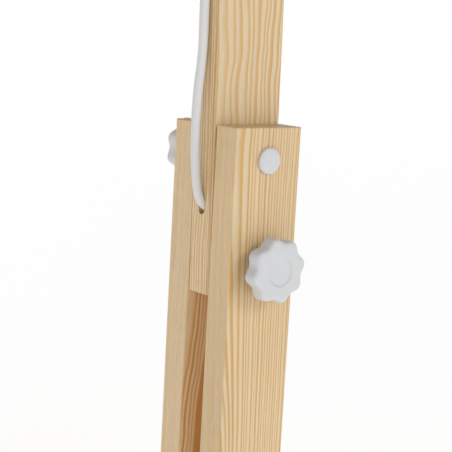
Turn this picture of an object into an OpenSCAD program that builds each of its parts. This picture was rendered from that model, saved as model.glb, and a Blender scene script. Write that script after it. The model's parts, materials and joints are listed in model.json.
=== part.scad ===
// Children's standing easel, H-frame.
// Two side stands, each a pair of pine slats that clamp one upright between
// them, carry a board frame with a tray, a paper roll and two side cords.
// Millimetres. +Z is up, the child stands on the -Y side.

/* [Stand] */
// Height of the pivot bolts above the floor
pivot_z = 490; // [470:1:520]
// Distance from the centre plane to the middle of an upright
post_x = 270; // [255:1:285]
// Backward lean of the leg slats in degrees
leg_lean = 4; // [3:0.5:5]
// Length of a foot runner
foot_len = 480; // [460:1:520]
// Height of a foot runner
foot_h = 50; // [44:1:56]

/* [Slats] */
// Width of a slat, front to back
slat_w = 51; // [48:0.5:54]
// Thickness of a slat
slat_t = 20; // [18:0.5:21]
// Radius of the eased edges
ease_r = 1; // [0.8:0.2:2.4]
// Gap on each side of an upright, filled by a nylon shim
side_gap = 0.6; // [0.6:0.1:1]

/* [Joint] */
// Pivot bolt to the top end of the leg slats
pivot_to_top = 20.3; // [18:0.1:24]
// How far the uprights sit forward of the leg slats
post_fwd = 0.6; // [0:0.1:1]
// Spacing of the pivot bolt and the lock bolt
bolt_gap = 65.4; // [62:0.1:68]
// Lock bolt to the lower end of the upright
lock_to_end = 20; // [18:1:24]
// Diameter of the bolts
bolt_d = 8; // [6:0.5:8]
// Diameter of a bolt cap
cap_d = 16.8; // [16:0.2:20]
// Outside diameter of a star knob
knob_d = 41.2; // [36:1:44]
// Height of a star knob over its washer
knob_h = 17; // [14:0.5:18]
// Furthest backward tilt of the board frame from the leg slats
tilt_back = 13; // [8:1:13]
// Furthest forward tilt of the board frame from the leg slats
tilt_fore = 2; // [1:1:3]

/* [Board frame] */
// Backward lean of the uprights as set, in degrees
post_lean = 3; // [2:0.5:6]
// Length of an upright above its pivot bolt
post_up = 655; // [650:1:680]
// Lower edge of the bottom rail above the pivot
rail_lo = 118; // [115:1:130]
// Lower edge of the top rail above the pivot
rail_hi = 540; // [530:1:545]
// Height of a rail
rail_h = 50; // [46:1:50]
// Thickness of the writing panel
panel_t = 6; // [5:0.5:7]

/* [Tray and cups] */
// Clear depth of the tray
tray_depth = 76; // [74:1:84]
// Height of the tray walls
tray_h = 40; // [36:1:44]
// Height of a paint cup
cup_h = 75; // [70:1:85]

/* [Paper roll] */
// Diameter of the full paper roll
roll_d = 60; // [50:1:62]
// Width of the paper
paper_w = 450; // [400:1:450]
// Diameter of the roll rod
rod_d = 20; // [18:1:20]

/* [Cord] */
// Diameter of the side cord
cord_d = 5.8; // [5:0.1:6]
// Diameter of the cord holes
cord_hole_d = 7; // [6.8:0.1:8]

/* [Hidden] */
$fn = 64;
pivot_y = 30;
x_post_out = post_x + slat_t / 2;
x_post_in = post_x - slat_t / 2;
x_out_in = x_post_out + side_gap;
x_out = x_out_in + slat_t;
x_in_out = x_post_in - side_gap;
x_in = x_in_out - slat_t;
stack = x_out - x_in;
bolt_r = bolt_d / 2;
bore_r = bolt_r + 0.05;
half_w = slat_w / 2;
post_n = -half_w - post_fwd;
leg_down = 486;
post_down = bolt_gap + lock_to_end;
foot_z = 6;
leg_cut_z = 12;
washer_t = 1;
shim_t = 0.5;
cord_r = cord_d / 2;
cord_hole_lo_r = 3.3;
beam_l = -410;
beam_h = 80;
beam_t = 20;
beam_bolt_x = 35;
rail_t = 20;
board_t = 12;
tray_base_t = 8;
tray_x = 257;
tray_back = -rail_t / 2;
tray_n0 = tray_back - board_t;
tray_n1 = tray_n0 - tray_depth;
roll_l = 630;
cradle_l = 605;
cradle_x = 246;
cup_xs = [-150, 0, 150];
knob_lobes = 8;
lock_phase = 12;
pivot_phase = 22.5;

// Frames --------------------------------------------------------------

// Leg frame: origin on the pivot axis, Z up along the slats
module in_legs() {
    translate([0, pivot_y, pivot_z]) rotate([-leg_lean, 0, 0]) children();
}

// Board frame: origin on the pivot axis, Z up along the uprights
module in_board() {
    translate([0, pivot_y, pivot_z]) rotate([-post_lean, 0, 0]) children();
}

// The left side mirrors the right side
module to_left() {
    mirror([1, 0, 0]) children();
}

// Shapes --------------------------------------------------------------

// Cylinder along +X from x0 to x1 at [y, z]
module rod_x(x0, x1, r, y = 0, z = 0) {
    translate([x0, y, z]) rotate([0, 90, 0]) cylinder(r = r, h = x1 - x0);
}

// Square with round corners, lower left corner at the origin
module soft_square(a, b, r) {
    translate([r, 0]) square([a - 2 * r, b]);
    translate([0, r]) square([a, b - 2 * r]);
    for (i = [r, a - r], j = [r, b - r]) translate([i, j]) circle(r = r);
}

// Board with eased edges all round, lower corner at the origin
module eased(a, b, c, r = ease_r) {
    intersection() {
        linear_extrude(c) soft_square(a, b, r);
        translate([0, b, 0]) rotate([90, 0, 0])
            linear_extrude(b) soft_square(a, c, r);
        rotate([90, 0, 90]) linear_extrude(a) soft_square(b, c, r);
    }
}

// Both bolt holes of a slat, seen in the leg frame
module leg_bores(x0) {
    rod_x(x0 - 1, x0 + slat_t + 1, bore_r);
    rod_x(x0 - 1, x0 + slat_t + 1, bore_r, 0, -bolt_gap);
}

// Points where the two foot bolts cross a side, in the world frame
foot_bolt_y = [-14, 10];
foot_bolt_z = 32;

// One leg slat standing at x0, cut level near the floor
module leg(x0) {
    difference() {
        in_legs() difference() {
            translate([x0, -half_w, -leg_down])
                eased(slat_t, slat_w, leg_down + pivot_to_top);
            leg_bores(x0);
        }
        translate([x0 - 5, -100, -40]) cube([slat_t + 10, 200, 40 + leg_cut_z]);
        for (y = foot_bolt_y)
            rod_x(x0 - 1, x0 + slat_t + 1, 3, y, foot_bolt_z);
    }
}

module right_outer_leg() { color("burlywood") leg(x_out_in); }

module inner_leg() {
    difference() {
        leg(x_in);
        in_legs() for (l = [20, 60])
            rod_x(x_in - 1, x_in_out + 1, 3, 0, beam_l + l);
    }
}

module right_inner_leg() { color("burlywood") inner_leg(); }
module left_outer_leg() { color("burlywood") to_left() leg(x_out_in); }
module left_inner_leg() { color("burlywood") to_left() inner_leg(); }

// Foot runner, as thick as the space between the two slats
module foot() {
    ft = slat_t + 2 * side_gap;
    hl = foot_len / 2;
    difference() {
        intersection() {
            translate([x_in_out, -hl, foot_z]) eased(ft, foot_len, foot_h);
            translate([x_in_out - 1, 0, 0]) rotate([90, 0, 90])
                linear_extrude(ft + 2) polygon([
                    [-hl, foot_z - 1], [hl, foot_z - 1],
                    [hl, foot_z + 22], [hl - 14, foot_z + 30],
                    [70, foot_z + foot_h + 1], [-70, foot_z + foot_h + 1],
                    [14 - hl, foot_z + 30], [-hl, foot_z + 22]
                ]);
        }
        for (y = foot_bolt_y)
            rod_x(x_in_out - 1, x_out_in + 1, 3, y, foot_bolt_z);
    }
}

module right_foot() { color("burlywood") foot(); }
module left_foot() { color("burlywood") to_left() foot(); }

module foot_pads() {
    color("dimgray")
    for (s = [-1, 1], y = [-205, 205])
        translate([s * post_x, y, 0]) {
            translate([0, 0, 1]) cylinder(d = 20, h = foot_z - 1);
            cylinder(d1 = 18, d2 = 20, h = 1);
        }
}

module foot_bolt_row() {
    for (y = foot_bolt_y)
        rod_x(x_in - 0.5, x_out + 0.5, 2.95, y, foot_bolt_z);
}

module foot_bolts() {
    color("silver") {
        foot_bolt_row();
        to_left() foot_bolt_row();
    }
}

// Low domed cap: a disc of radius r, h high over the face, facing +X
module dome(r, h) {
    rim = h * 0.45;
    rise = h - rim;
    big = (r * r + rise * rise) / (2 * rise);
    intersection() {
        rod_x(0, h, r);
        union() {
            rod_x(0, rim, r);
            translate([h - big, 0, 0]) rotate([0, 90, 0]) sphere(r = big, $fn = 96);
        }
    }
}

// Domed cap with a blind hole for the bolt end
module small_cap() {
    difference() {
        dome(6.5, 2.6);
        rod_x(-1, 0.5, 3);
    }
}

module foot_cap_set() {
    for (y = foot_bolt_y) {
        translate([x_out, y, foot_bolt_z]) small_cap();
        translate([x_in, y, foot_bolt_z]) mirror([1, 0, 0]) small_cap();
    }
}

module foot_bolt_caps() {
    color("whitesmoke") {
        foot_cap_set();
        to_left() foot_cap_set();
    }
}

// Beam between the stands, held by two bolts and barrel nuts at each end
module stretcher() {
    color("burlywood")
    in_legs() difference() {
        translate([-x_in, -beam_t / 2, beam_l]) eased(2 * x_in, beam_t, beam_h);
        for (s = [-1, 1], l = [20, 60]) {
            rod_x(s * x_in - 52, s * x_in + 52, 3, 0, beam_l + l);
            translate([s * (x_in - beam_bolt_x), -beam_t, beam_l + l])
                rotate([-90, 0, 0]) cylinder(r = 5, h = 2 * beam_t);
        }
    }
}

module beam_bolt_pair() {
    in_legs() for (l = [20, 60]) {
        rod_x(x_in - 50, x_in_out, 3, 0, beam_l + l);
        difference() {
            rod_x(x_in_out, x_in_out + 5, 6, 0, beam_l + l);
            rod_x(x_in_out + 2, x_in_out + 6, 2.5, 0, beam_l + l);
        }
    }
}

module stretcher_bolts() {
    color("silver") {
        beam_bolt_pair();
        to_left() beam_bolt_pair();
    }
}

module barrel_nuts() {
    color("silver")
    in_legs() for (s = [-1, 1], l = [20, 60])
        difference() {
            translate([s * (x_in - beam_bolt_x), -8, beam_l + l])
                rotate([-90, 0, 0]) cylinder(r = 5, h = 16);
            rod_x(s * (x_in - beam_bolt_x) - 8, s * (x_in - beam_bolt_x) + 8,
                3, 0, beam_l + l);
        }
}

// Clamp hardware, built with the bolt axis on X and the head at x = 0 ----

cap_h = 3.2;
head_h = 2;
knob_x0 = stack + washer_t;
knob_x1 = knob_x0 + knob_h;
bolt_end = knob_x0 + 10.5;

module clamp_bolt() {
    rod_x(0, bolt_end, bolt_r);
    rod_x(-head_h, 0, 6.4);
}

module clamp_cap() {
    difference() {
        mirror([1, 0, 0]) dome(cap_d / 2, cap_h);
        rod_x(-head_h, 1, 6.4);
    }
}

module clamp_washer() {
    difference() {
        rod_x(stack, stack + washer_t, 8);
        rod_x(stack - 1, stack + washer_t + 1, bore_r);
    }
}

insert_r = 6;
insert_x1 = knob_x0 + 11;

module clamp_insert() {
    difference() {
        rod_x(knob_x0, insert_x1, insert_r);
        rod_x(knob_x0 - 1, insert_x1 + 1, bore_r);
    }
}

// Star knob: a hub under an eight-lobed head with a shallow round dish
knob_skirt = 6;
knob_head_t = knob_h - knob_skirt;
knob_wave = 1.6;
knob_steps = 128;
dish_r = 50;
dish_deep = 0.8;

function knob_edge(a, phase) =
    knob_d / 2 - knob_wave + knob_wave * cos(knob_lobes * (a - phase));

module knob_head(phase) {
    rim = knob_d / 2;
    intersection() {
        rotate([90, 0, 90]) linear_extrude(knob_head_t) polygon([
            for (i = [0 : knob_steps - 1]) let (a = (i + 0.5) * 360 / knob_steps)
                knob_edge(a, phase) * [cos(a), sin(a)]
        ]);
        rotate([0, 90, 0]) rotate_extrude() polygon([
            [0, -1], [rim - 2.6, -1], [rim + 1.2, 2.8],
            [rim + 1.2, knob_head_t - 2.8], [rim - 2.6, knob_head_t + 1],
            [0, knob_head_t + 1]
        ]);
    }
}

module clamp_knob(phase) {
    difference() {
        union() {
            rod_x(knob_x0, knob_x0 + knob_skirt + 1, 9.5);
            translate([knob_x0 + knob_skirt, 0, 0]) knob_head(phase);
        }
        rod_x(knob_x0 - 1, insert_x1, insert_r);
        translate([knob_x1 + dish_r - dish_deep, 0, 0]) rotate([0, 90, 0])
            sphere(r = dish_r, $fn = 96);
    }
}

// Places a clamp part: the lock bolt points out, the pivot bolt points in
module at_lock() {
    in_legs() translate([x_in, 0, -bolt_gap]) children();
}

module at_pivot() {
    in_legs() translate([x_out, 0, 0]) mirror([1, 0, 0]) children();
}

module right_bolts() {
    color("silver") {
        at_lock() clamp_bolt();
        at_pivot() clamp_bolt();
    }
}

module left_bolts() { to_left() right_bolts(); }

module right_bolt_caps() {
    color("whitesmoke") {
        at_lock() clamp_cap();
        at_pivot() clamp_cap();
    }
}

module left_bolt_caps() { to_left() right_bolt_caps(); }

module shim_set() {
    in_legs() for (l = [0, -bolt_gap]) {
        difference() {
            rod_x(x_out_in - shim_t, x_out_in, 9, 0, l);
            rod_x(x_out_in - 2, x_out_in + 1, bore_r, 0, l);
        }
        difference() {
            rod_x(x_in_out, x_in_out + shim_t, 9, 0, l);
            rod_x(x_in_out - 1, x_in_out + 2, bore_r, 0, l);
        }
    }
}

module shims() {
    color("ivory") {
        shim_set();
        to_left() shim_set();
    }
}

module right_lock_knob() {
    color("whitesmoke") at_lock() clamp_knob(lock_phase);
}

module right_lock_insert() { color("goldenrod") at_lock() clamp_insert(); }
module right_lock_washer() { color("silver") at_lock() clamp_washer(); }
module right_pivot_knob() {
    color("whitesmoke") at_pivot() clamp_knob(pivot_phase);
}

module right_pivot_insert() { color("goldenrod") at_pivot() clamp_insert(); }
module right_pivot_washer() { color("silver") at_pivot() clamp_washer(); }
module left_lock_knob() { to_left() right_lock_knob(); }
module left_lock_insert() { to_left() right_lock_insert(); }
module left_lock_washer() { to_left() right_lock_washer(); }
module left_pivot_knob() { to_left() right_pivot_knob(); }
module left_pivot_insert() { to_left() right_pivot_insert(); }
module left_pivot_washer() { to_left() right_pivot_washer(); }

// Board frame ---------------------------------------------------------

// Curved slot for the lock bolt, centred on the pivot axis
slot_r = bolt_r + 0.2;
slot_fore = tilt_fore + 0.3;
slot_back = tilt_back + 0.3;

module lock_slot(x0) {
    far = 100;
    intersection() {
        difference() {
            rod_x(x0 - 1, x0 + slat_t + 1, bolt_gap + slot_r);
            rod_x(x0 - 2, x0 + slat_t + 2, bolt_gap - slot_r);
        }
        translate([x0 - 1, 0, 0]) rotate([90, 0, 90])
            linear_extrude(slat_t + 2) polygon([
                [0, 0],
                [-far * sin(slot_fore), -far * cos(slot_fore)],
                [far * sin(slot_back), -far * cos(slot_back)]
            ]);
    }
    for (a = [-slot_fore, slot_back])
        rod_x(x0 - 1, x0 + slat_t + 1, slot_r,
            bolt_gap * sin(a), -bolt_gap * cos(a));
}

// Slanting blind holes that take the two ends of the side cord
mouth_lo = -28.2;
mouth_hi = 575;
slant_lo = 38;
slant_hi = -60;
hole_depth = 26;

// Cylinder along a slant that falls into the wood, from depth d0 to d1
module slant(mouth, fall, d0, d1, r) {
    translate([post_x, post_n, mouth]) rotate([-fall, 0, 0])
        translate([0, d0, 0]) rotate([-90, 0, 0]) cylinder(r = r, h = d1 - d0);
}

// Lower hole: the bore, a steep lead-in over it where the cord bends, and
// a flare under it
module cord_hole_lo() {
    slant(mouth_lo, slant_lo, -12, hole_depth, cord_hole_lo_r);
    slant(mouth_lo - 0.4, 63, -14, 6, cord_hole_lo_r);
    slant(mouth_lo - 3.3, slant_lo, -12, 9, cord_hole_lo_r);
}

module post() {
    in_board() difference() {
        translate([x_post_in, post_n, -post_down])
            eased(slat_t, slat_w, post_up + post_down);
        rod_x(x_post_in - 1, x_post_out + 1, bore_r);
        lock_slot(x_post_in);
        cord_hole_lo();
        slant(mouth_hi, slant_hi, -12, hole_depth, cord_hole_d / 2);
        for (l = [rail_lo, rail_hi], k = [12, rail_h - 12])
            rail_screw(l + k);
        for (l = [615, 645]) rod_x(x_post_in - 1, x_post_in + 16, 1.75, 0, l - 3);
    }
}

// Countersunk screw through an upright into a rail end
module rail_screw(l) {
    rod_x(x_post_in - 30, x_post_out, 2.5, 0, l);
    translate([x_post_out, 0, l]) rotate([0, -90, 0])
        cylinder(r1 = 5, r2 = 2.5, h = 3);
}

module right_post() { color("burlywood") post(); }
module left_post() { color("burlywood") to_left() post(); }

module rail_screw_set() {
    in_board() for (l = [rail_lo, rail_hi], k = [12, rail_h - 12])
        difference() {
            rail_screw(l + k);
            rod_x(x_post_out - 1.2, x_post_out + 1, 1.6, 0, l + k);
        }
}

module rail_screws() {
    color("silver") {
        rail_screw_set();
        to_left() rail_screw_set();
    }
}

groove = 8;
panel_clear = 0.1;

// Rail between the uprights, with a groove for the panel
module rail(l, groove_l) {
    difference() {
        translate([-x_post_in, -rail_t / 2, l]) eased(2 * x_post_in, rail_t, rail_h);
        translate([-x_post_in - 1, -panel_t / 2 - panel_clear, groove_l])
            cube([2 * x_post_in + 2, panel_t + 2 * panel_clear, groove + 1]);
        for (k = [12, rail_h - 12], s = [0, 1])
            mirror([s, 0, 0]) rod_x(x_post_in - 30, x_post_in + 1, 2.5, 0, l + k);
        children();
    }
}

tray_screw_xs = [-220, -75, 75, 220];
tray_screw_l = rail_lo + 24;
bar_l = rail_lo + 44;
bar_gap = 8;

module bottom_rail() {
    color("burlywood")
    in_board() rail(rail_lo, rail_lo + rail_h - groove) {
        for (x = tray_screw_xs)
            translate([x, 0, tray_screw_l]) rotate([90, 0, 0]) cylinder(r = 2, h = 20);
    }
}

module top_rail() {
    color("burlywood")
    in_board() rail(rail_hi, rail_hi - 1);
}

panel_lo = rail_lo + rail_h - groove + 0.5;
panel_hi = rail_hi + groove - 0.5;
skin_t = 0.8;

module panel_sheet(n0, n1) {
    in_board() translate([-x_post_in + 0.5, n0, panel_lo])
        cube([2 * x_post_in - 1, n1 - n0, panel_hi - panel_lo]);
}

module panel_core() {
    color("peru") difference() {
        panel_sheet(-panel_t / 2 + skin_t, panel_t / 2 - skin_t);
        tear_bar_holes(6);
    }
}

module white_face() {
    color("white") difference() {
        panel_sheet(-panel_t / 2, -panel_t / 2 + skin_t);
        tear_bar_holes(6);
    }
}

module chalk_face() {
    color("darkslategray") panel_sheet(panel_t / 2 - skin_t, panel_t / 2);
}

// Tray ----------------------------------------------------------------

module tray_base() {
    color("burlywood")
    in_board() translate([-tray_x + board_t, tray_n1, rail_lo])
        cube([2 * (tray_x - board_t), tray_depth, tray_base_t]);
}

module tray_back() {
    color("burlywood")
    in_board() difference() {
        translate([-tray_x + board_t, tray_n0, rail_lo])
            eased(2 * (tray_x - board_t), board_t, tray_h, 1.2);
        for (x = tray_screw_xs) translate([x, tray_back + 1, tray_screw_l])
            rotate([90, 0, 0]) cylinder(r = 2, h = 20);
    }
}

module tray_front() {
    color("burlywood")
    in_board() translate([-tray_x + board_t, tray_n1 - board_t, rail_lo])
        eased(2 * (tray_x - board_t), board_t, tray_h, 1.2);
}

module tray_ends() {
    color("burlywood")
    in_board() for (s = [0, 1]) mirror([s, 0, 0])
        translate([tray_x - board_t, tray_n1 - board_t, rail_lo])
            eased(board_t, tray_depth + 2 * board_t, tray_h, 1.2);
}

module tray_screws() {
    color("silver")
    in_board() for (x = tray_screw_xs) translate([x, 0, tray_screw_l])
        difference() {
            union() {
                translate([0, tray_back + 9, 0])
                    rotate([90, 0, 0]) cylinder(r = 2, h = board_t + 9);
                translate([0, tray_n0, 0])
                    rotate([90, 0, 0]) cylinder(r1 = 4, r2 = 3.2, h = 2.2);
            }
            translate([0, tray_n0 - 1.2, 0])
                rotate([90, 0, 0]) cylinder(r = 1.4, h = 2);
        }
}

// Tear bar ------------------------------------------------------------

bar_x = 250;
bar_t = 5;
bar_h = 26;
bar_lo = 185;
bar_screw_x = 242;
bar_n = -panel_t / 2 - bar_gap;

module tear_bar_holes(deep) {
    in_board() for (s = [-1, 1])
        translate([s * bar_screw_x, -panel_t / 2 + deep - 1.2, bar_lo + bar_h / 2])
            rotate([90, 0, 0]) cylinder(r = 1.5, h = deep);
}

module tear_bar() {
    color("whitesmoke")
    in_board() difference() {
        union() {
            translate([-bar_x, bar_n - bar_t, bar_lo])
                eased(2 * bar_x, bar_t, bar_h, 1);
            for (s = [-1, 1])
                translate([s * bar_screw_x - 6, bar_n - 1, bar_lo + 2])
                    cube([12, bar_gap + 1, bar_h - 4]);
        }
        for (s = [-1, 1])
            translate([s * bar_screw_x, 0, bar_lo + bar_h / 2])
                rotate([90, 0, 0]) cylinder(r = 1.5, h = 40);
    }
}

module tear_bar_screws() {
    color("silver")
    in_board() for (s = [-1, 1])
        translate([s * bar_screw_x, 0, bar_lo + bar_h / 2])
            difference() {
                union() {
                    translate([0, 1.5, 0]) rotate([90, 0, 0])
                        cylinder(r = 1.5, h = 1.5 - bar_n + bar_t);
                    translate([0, bar_n - bar_t, 0])
                        rotate([90, 0, 0]) cylinder(r1 = 3.4, r2 = 2.8, h = 1.8);
                }
                translate([0, bar_n - bar_t - 1, 0])
                    rotate([90, 0, 0]) cylinder(r = 1.1, h = 2);
            }
}

// Paper roll ----------------------------------------------------------

rod_r = rod_d / 2;
rod_x1 = 255.5;
core_r = 15;
core_x = paper_w / 2 + 3;

module cradle() {
    in_board() difference() {
        translate([cradle_x, -20, cradle_l])
            eased(x_post_in - cradle_x, 40, 50, 1.2);
        rod_x(cradle_x - 1, 256, rod_r + 0.05, 0, roll_l);
        translate([cradle_x - 1, -rod_r - 0.05, roll_l])
            cube([257 - cradle_x, rod_d + 0.1, 60]);
        for (l = [612]) rod_x(cradle_x - 1, x_post_in + 1, 1.75, 0, l);
        rod_x(255, x_post_in + 1, 1.75, 0, 642);
    }
}

module right_cradle() { color("whitesmoke") cradle(); }
module left_cradle() { color("whitesmoke") to_left() cradle(); }

module cradle_screw_pair() {
    in_board() {
        rod_x(cradle_x, x_post_in + 14, 1.75, 0, 612);
        translate([cradle_x, 0, 612]) rotate([0, -90, 0])
            cylinder(r1 = 3.4, r2 = 2.6, h = 1.8);
        rod_x(256, x_post_in + 14, 1.75, 0, 642);
    }
}

module cradle_screws() {
    color("silver") {
        cradle_screw_pair();
        to_left() cradle_screw_pair();
    }
}

module roll_rod() {
    color("tan")
    in_board() {
        rod_x(-rod_x1 + 1, rod_x1 - 1, rod_r, 0, roll_l);
        for (s = [0, 1]) mirror([s, 0, 0])
            translate([rod_x1 - 1, 0, roll_l]) rotate([0, 90, 0])
                cylinder(r1 = rod_r, r2 = rod_r - 1, h = 1);
    }
}

// Soft rings that keep the roll in the middle of the rod
module rod_collars() {
    color("dimgray")
    in_board() for (s = [0, 1]) mirror([s, 0, 0])
        translate([core_x + 6, 0, roll_l]) rotate([0, 90, 0])
            rotate_extrude() {
                translate([rod_r, -2]) square([2, 4]);
                translate([rod_r + 2, 0]) circle(r = 2);
            }
}

module roll_core() {
    color("peru")
    in_board() difference() {
        rod_x(-core_x, core_x, core_r + 2, 0, roll_l);
        rod_x(-core_x - 1, core_x + 1, core_r, 0, roll_l);
    }
}

module roll_hubs() {
    color("whitesmoke")
    in_board() for (s = [0, 1]) mirror([s, 0, 0]) difference() {
        union() {
            rod_x(core_x - 12, core_x, core_r, 0, roll_l);
            rod_x(core_x, core_x + 3, core_r + 6, 0, roll_l);
        }
        rod_x(core_x - 13, core_x + 4, rod_r + 0.05, 0, roll_l);
    }
}

module paper_roll() {
    color("white")
    in_board() difference() {
        rod_x(-paper_w / 2, paper_w / 2, roll_d / 2, 0, roll_l);
        rod_x(-paper_w / 2 - 1, paper_w / 2 + 1, core_r + 2, 0, roll_l);
    }
}

// Cups ----------------------------------------------------------------

cup_r0 = 28;
cup_r1 = 34;
cup_wall = 2;
cup_n = tray_n0 - tray_depth / 2;

module cup(x) {
    in_board() translate([x, cup_n, rail_lo + tray_base_t])
        rotate_extrude() {
            polygon([
                [0, 0], [cup_r0 - 2, 0], [cup_r0, 2], [cup_r1, cup_h - 3],
                [cup_r1 + 1.5, cup_h - 3], [cup_r1 + 1.5, cup_h],
                [cup_r1 - cup_wall, cup_h], [cup_r0 - cup_wall, 3], [0, 3]
            ]);
        }
}

module cup_left() { color("whitesmoke") cup(cup_xs[0]); }
module cup_middle() { color("whitesmoke") cup(cup_xs[1]); }
module cup_right() { color("whitesmoke") cup(cup_xs[2]); }

// Side cords ----------------------------------------------------------

// Route of a cord in the board frame: [out from the front edge, up].
// It comes out of the lower hole, bows forward, lies along the edge and
// goes into the upper hole.
cord_route = [
    [-12.6, -38.05], [-9.5, -35.6], [-6.3, -33.1], [-3.95, -31.3], [-1.7, -29.5],
    [-0.8, -28.7], [0.1, -27.8], [0.95, -26.6], [1.65, -25.4], [2.6, -23.4], [4.1, -18.5],
    [5.1, -12], [5.9, -4], [6.6, 6], [6.9, 18], [6.5, 32], [5.6, 45], [4.2, 57],
    [3.4, 70], [3.2, 90], [3.2, 140], [3.2, 190], [3.2, 240], [3.2, 290], [3.2, 340],
    [3.2, 390], [3.2, 440], [3.2, 490], [3.2, 530], [3.3, 548],
    [3.6, 560], [3.4, 566.5], [1.9, 571.8], [-0.4, 576], [-3.1, 580.4], [-5.6, 584.7], [-8, 588.9]
];
cord_sides = 10;

function pick(v, i) = v[max(0, min(len(v) - 1, i))];
function bend(p, i, t) =
    let (a = pick(p, i - 1), b = pick(p, i), c = pick(p, i + 1), d = pick(p, i + 2))
    0.5 * (2 * b + (c - a) * t + (2 * a - 5 * b + 4 * c - d) * t * t
        + (3 * b - a - 3 * c + d) * t * t * t);
function cuts(p, i) = max(1, ceil(norm(p[i + 1] - p[i]) / 17));
function smooth_route(p) = [
    for (i = [0 : len(p) - 2], k = [0 : cuts(p, i) - 1]) bend(p, i, k / cuts(p, i)),
    p[len(p) - 1]
];
// Rings lie square to the path, which stays in one plane
function ring_dir(p, i) =
    let (d = pick(p, i + 1) - pick(p, i - 1)) d / norm(d);
function tube_points(p, r, n) = [
    for (i = [0 : len(p) - 1]) let (d = ring_dir(p, i))
        for (k = [0 : n - 1]) let (a = 360 * k / n)
            [r * cos(a), -p[i][0] + r * sin(a) * d[1], p[i][1] + r * sin(a) * d[0]]
];
function tube_faces(m, n) = concat(
    [[for (k = [n - 1 : -1 : 0]) k]],
    [for (i = [0 : m - 2], k = [0 : n - 1]) let (j = (k + 1) % n)
        [i * n + k, i * n + j, (i + 1) * n + j, (i + 1) * n + k]],
    [[for (k = [0 : n - 1]) (m - 1) * n + k]]
);

module cord() {
    path = smooth_route(cord_route);
    in_board() translate([post_x, post_n, 0])
        polyhedron(
            points = tube_points(path, cord_r, cord_sides),
            faces = tube_faces(len(path), cord_sides),
            convexity = 6
        );
}

module right_cord() { color("gainsboro") cord(); }
module left_cord() { color("gainsboro") to_left() cord(); }

cord_end = 16.2;

module ferrule_pair() {
    in_board() {
        slant(mouth_lo, slant_lo, cord_end, cord_end + 8, 3.2);
        slant(mouth_hi, slant_hi, cord_end, cord_end + 8, 3.4);
    }
}

module cord_ferrules() {
    color("silver") {
        ferrule_pair();
        to_left() ferrule_pair();
    }
}

right_outer_leg();
right_inner_leg();
left_outer_leg();
left_inner_leg();
right_foot();
left_foot();
foot_pads();
foot_bolts();
foot_bolt_caps();
stretcher();
stretcher_bolts();
barrel_nuts();
right_bolts();
left_bolts();
right_bolt_caps();
left_bolt_caps();
shims();
right_lock_knob();
right_lock_insert();
right_lock_washer();
right_pivot_knob();
right_pivot_insert();
right_pivot_washer();
left_lock_knob();
left_lock_insert();
left_lock_washer();
left_pivot_knob();
left_pivot_insert();
left_pivot_washer();
right_post();
left_post();
bottom_rail();
top_rail();
rail_screws();
panel_core();
white_face();
chalk_face();
tray_base();
tray_back();
tray_front();
tray_ends();
tray_screws();
tear_bar();
tear_bar_screws();
right_cradle();
left_cradle();
cradle_screws();
roll_rod();
rod_collars();
roll_core();
roll_hubs();
paper_roll();
cup_left();
cup_middle();
cup_right();
right_cord();
left_cord();
cord_ferrules();
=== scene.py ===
"""Children's standing easel: finishes, hardware, cords and studio around the fixed frame."""

import json
import math

import bmesh
import bpy
from bpy.props import FloatProperty, FloatVectorProperty, IntProperty, PointerProperty
from mathutils import Matrix, Vector


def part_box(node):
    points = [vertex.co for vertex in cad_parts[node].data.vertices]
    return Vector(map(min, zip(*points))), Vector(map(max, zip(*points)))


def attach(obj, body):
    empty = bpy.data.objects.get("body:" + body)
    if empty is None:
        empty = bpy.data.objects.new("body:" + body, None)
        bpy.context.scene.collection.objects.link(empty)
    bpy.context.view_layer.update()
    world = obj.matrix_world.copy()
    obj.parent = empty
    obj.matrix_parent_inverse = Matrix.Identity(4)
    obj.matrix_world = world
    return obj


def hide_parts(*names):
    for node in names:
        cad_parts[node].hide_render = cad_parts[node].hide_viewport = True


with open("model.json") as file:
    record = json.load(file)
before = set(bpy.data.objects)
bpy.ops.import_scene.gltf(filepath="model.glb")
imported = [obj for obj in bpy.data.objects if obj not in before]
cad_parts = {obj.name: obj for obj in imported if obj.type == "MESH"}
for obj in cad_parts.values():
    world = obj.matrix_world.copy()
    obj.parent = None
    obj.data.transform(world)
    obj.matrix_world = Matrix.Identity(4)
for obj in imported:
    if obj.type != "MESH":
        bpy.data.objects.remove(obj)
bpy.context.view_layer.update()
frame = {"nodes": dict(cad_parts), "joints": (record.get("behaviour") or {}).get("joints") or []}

bl_info = {
    "name": "Children's Easel",
    "version": (1, 0, 0),
    "blender": (4, 5, 0),
    "location": "View3D > Sidebar > Easel",
    "description": "Finishes a children's standing easel and its studio",
    "category": "Object",
}

MM = 0.001
MICRON = 0.001 * MM
MERGE_GAP = 10 * MICRON
TOUCHING = MICRON
FULL_TURN = 2 * math.pi
SMOOTH_ANGLE = math.radians(38)
# The side stands, and which way along X each lies
SIDES = {"right": 1, "left": -1}

# Frames of the easel: both start on the pivot axis and rise along the timber
PIVOT = Vector(next(j["pos_m"] for j in frame["joints"] if j["name"] == "board_tilt"))
LEG_TURN = Matrix.Rotation(-math.radians(4), 4, "X")
BOARD_TURN = Matrix.Rotation(-math.radians(3), 4, "X")
LEG_FRAME = Matrix.Translation(PIVOT) @ LEG_TURN
BOARD_FRAME = Matrix.Translation(PIVOT) @ BOARD_TURN


# Settings ---------------------------------------------------------------


def colour_prop(name, description, default):
    return FloatVectorProperty(
        name=name,
        description=description,
        subtype="COLOR",
        size=3,
        min=0.0,
        max=1.0,
        default=default,
    )


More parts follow.
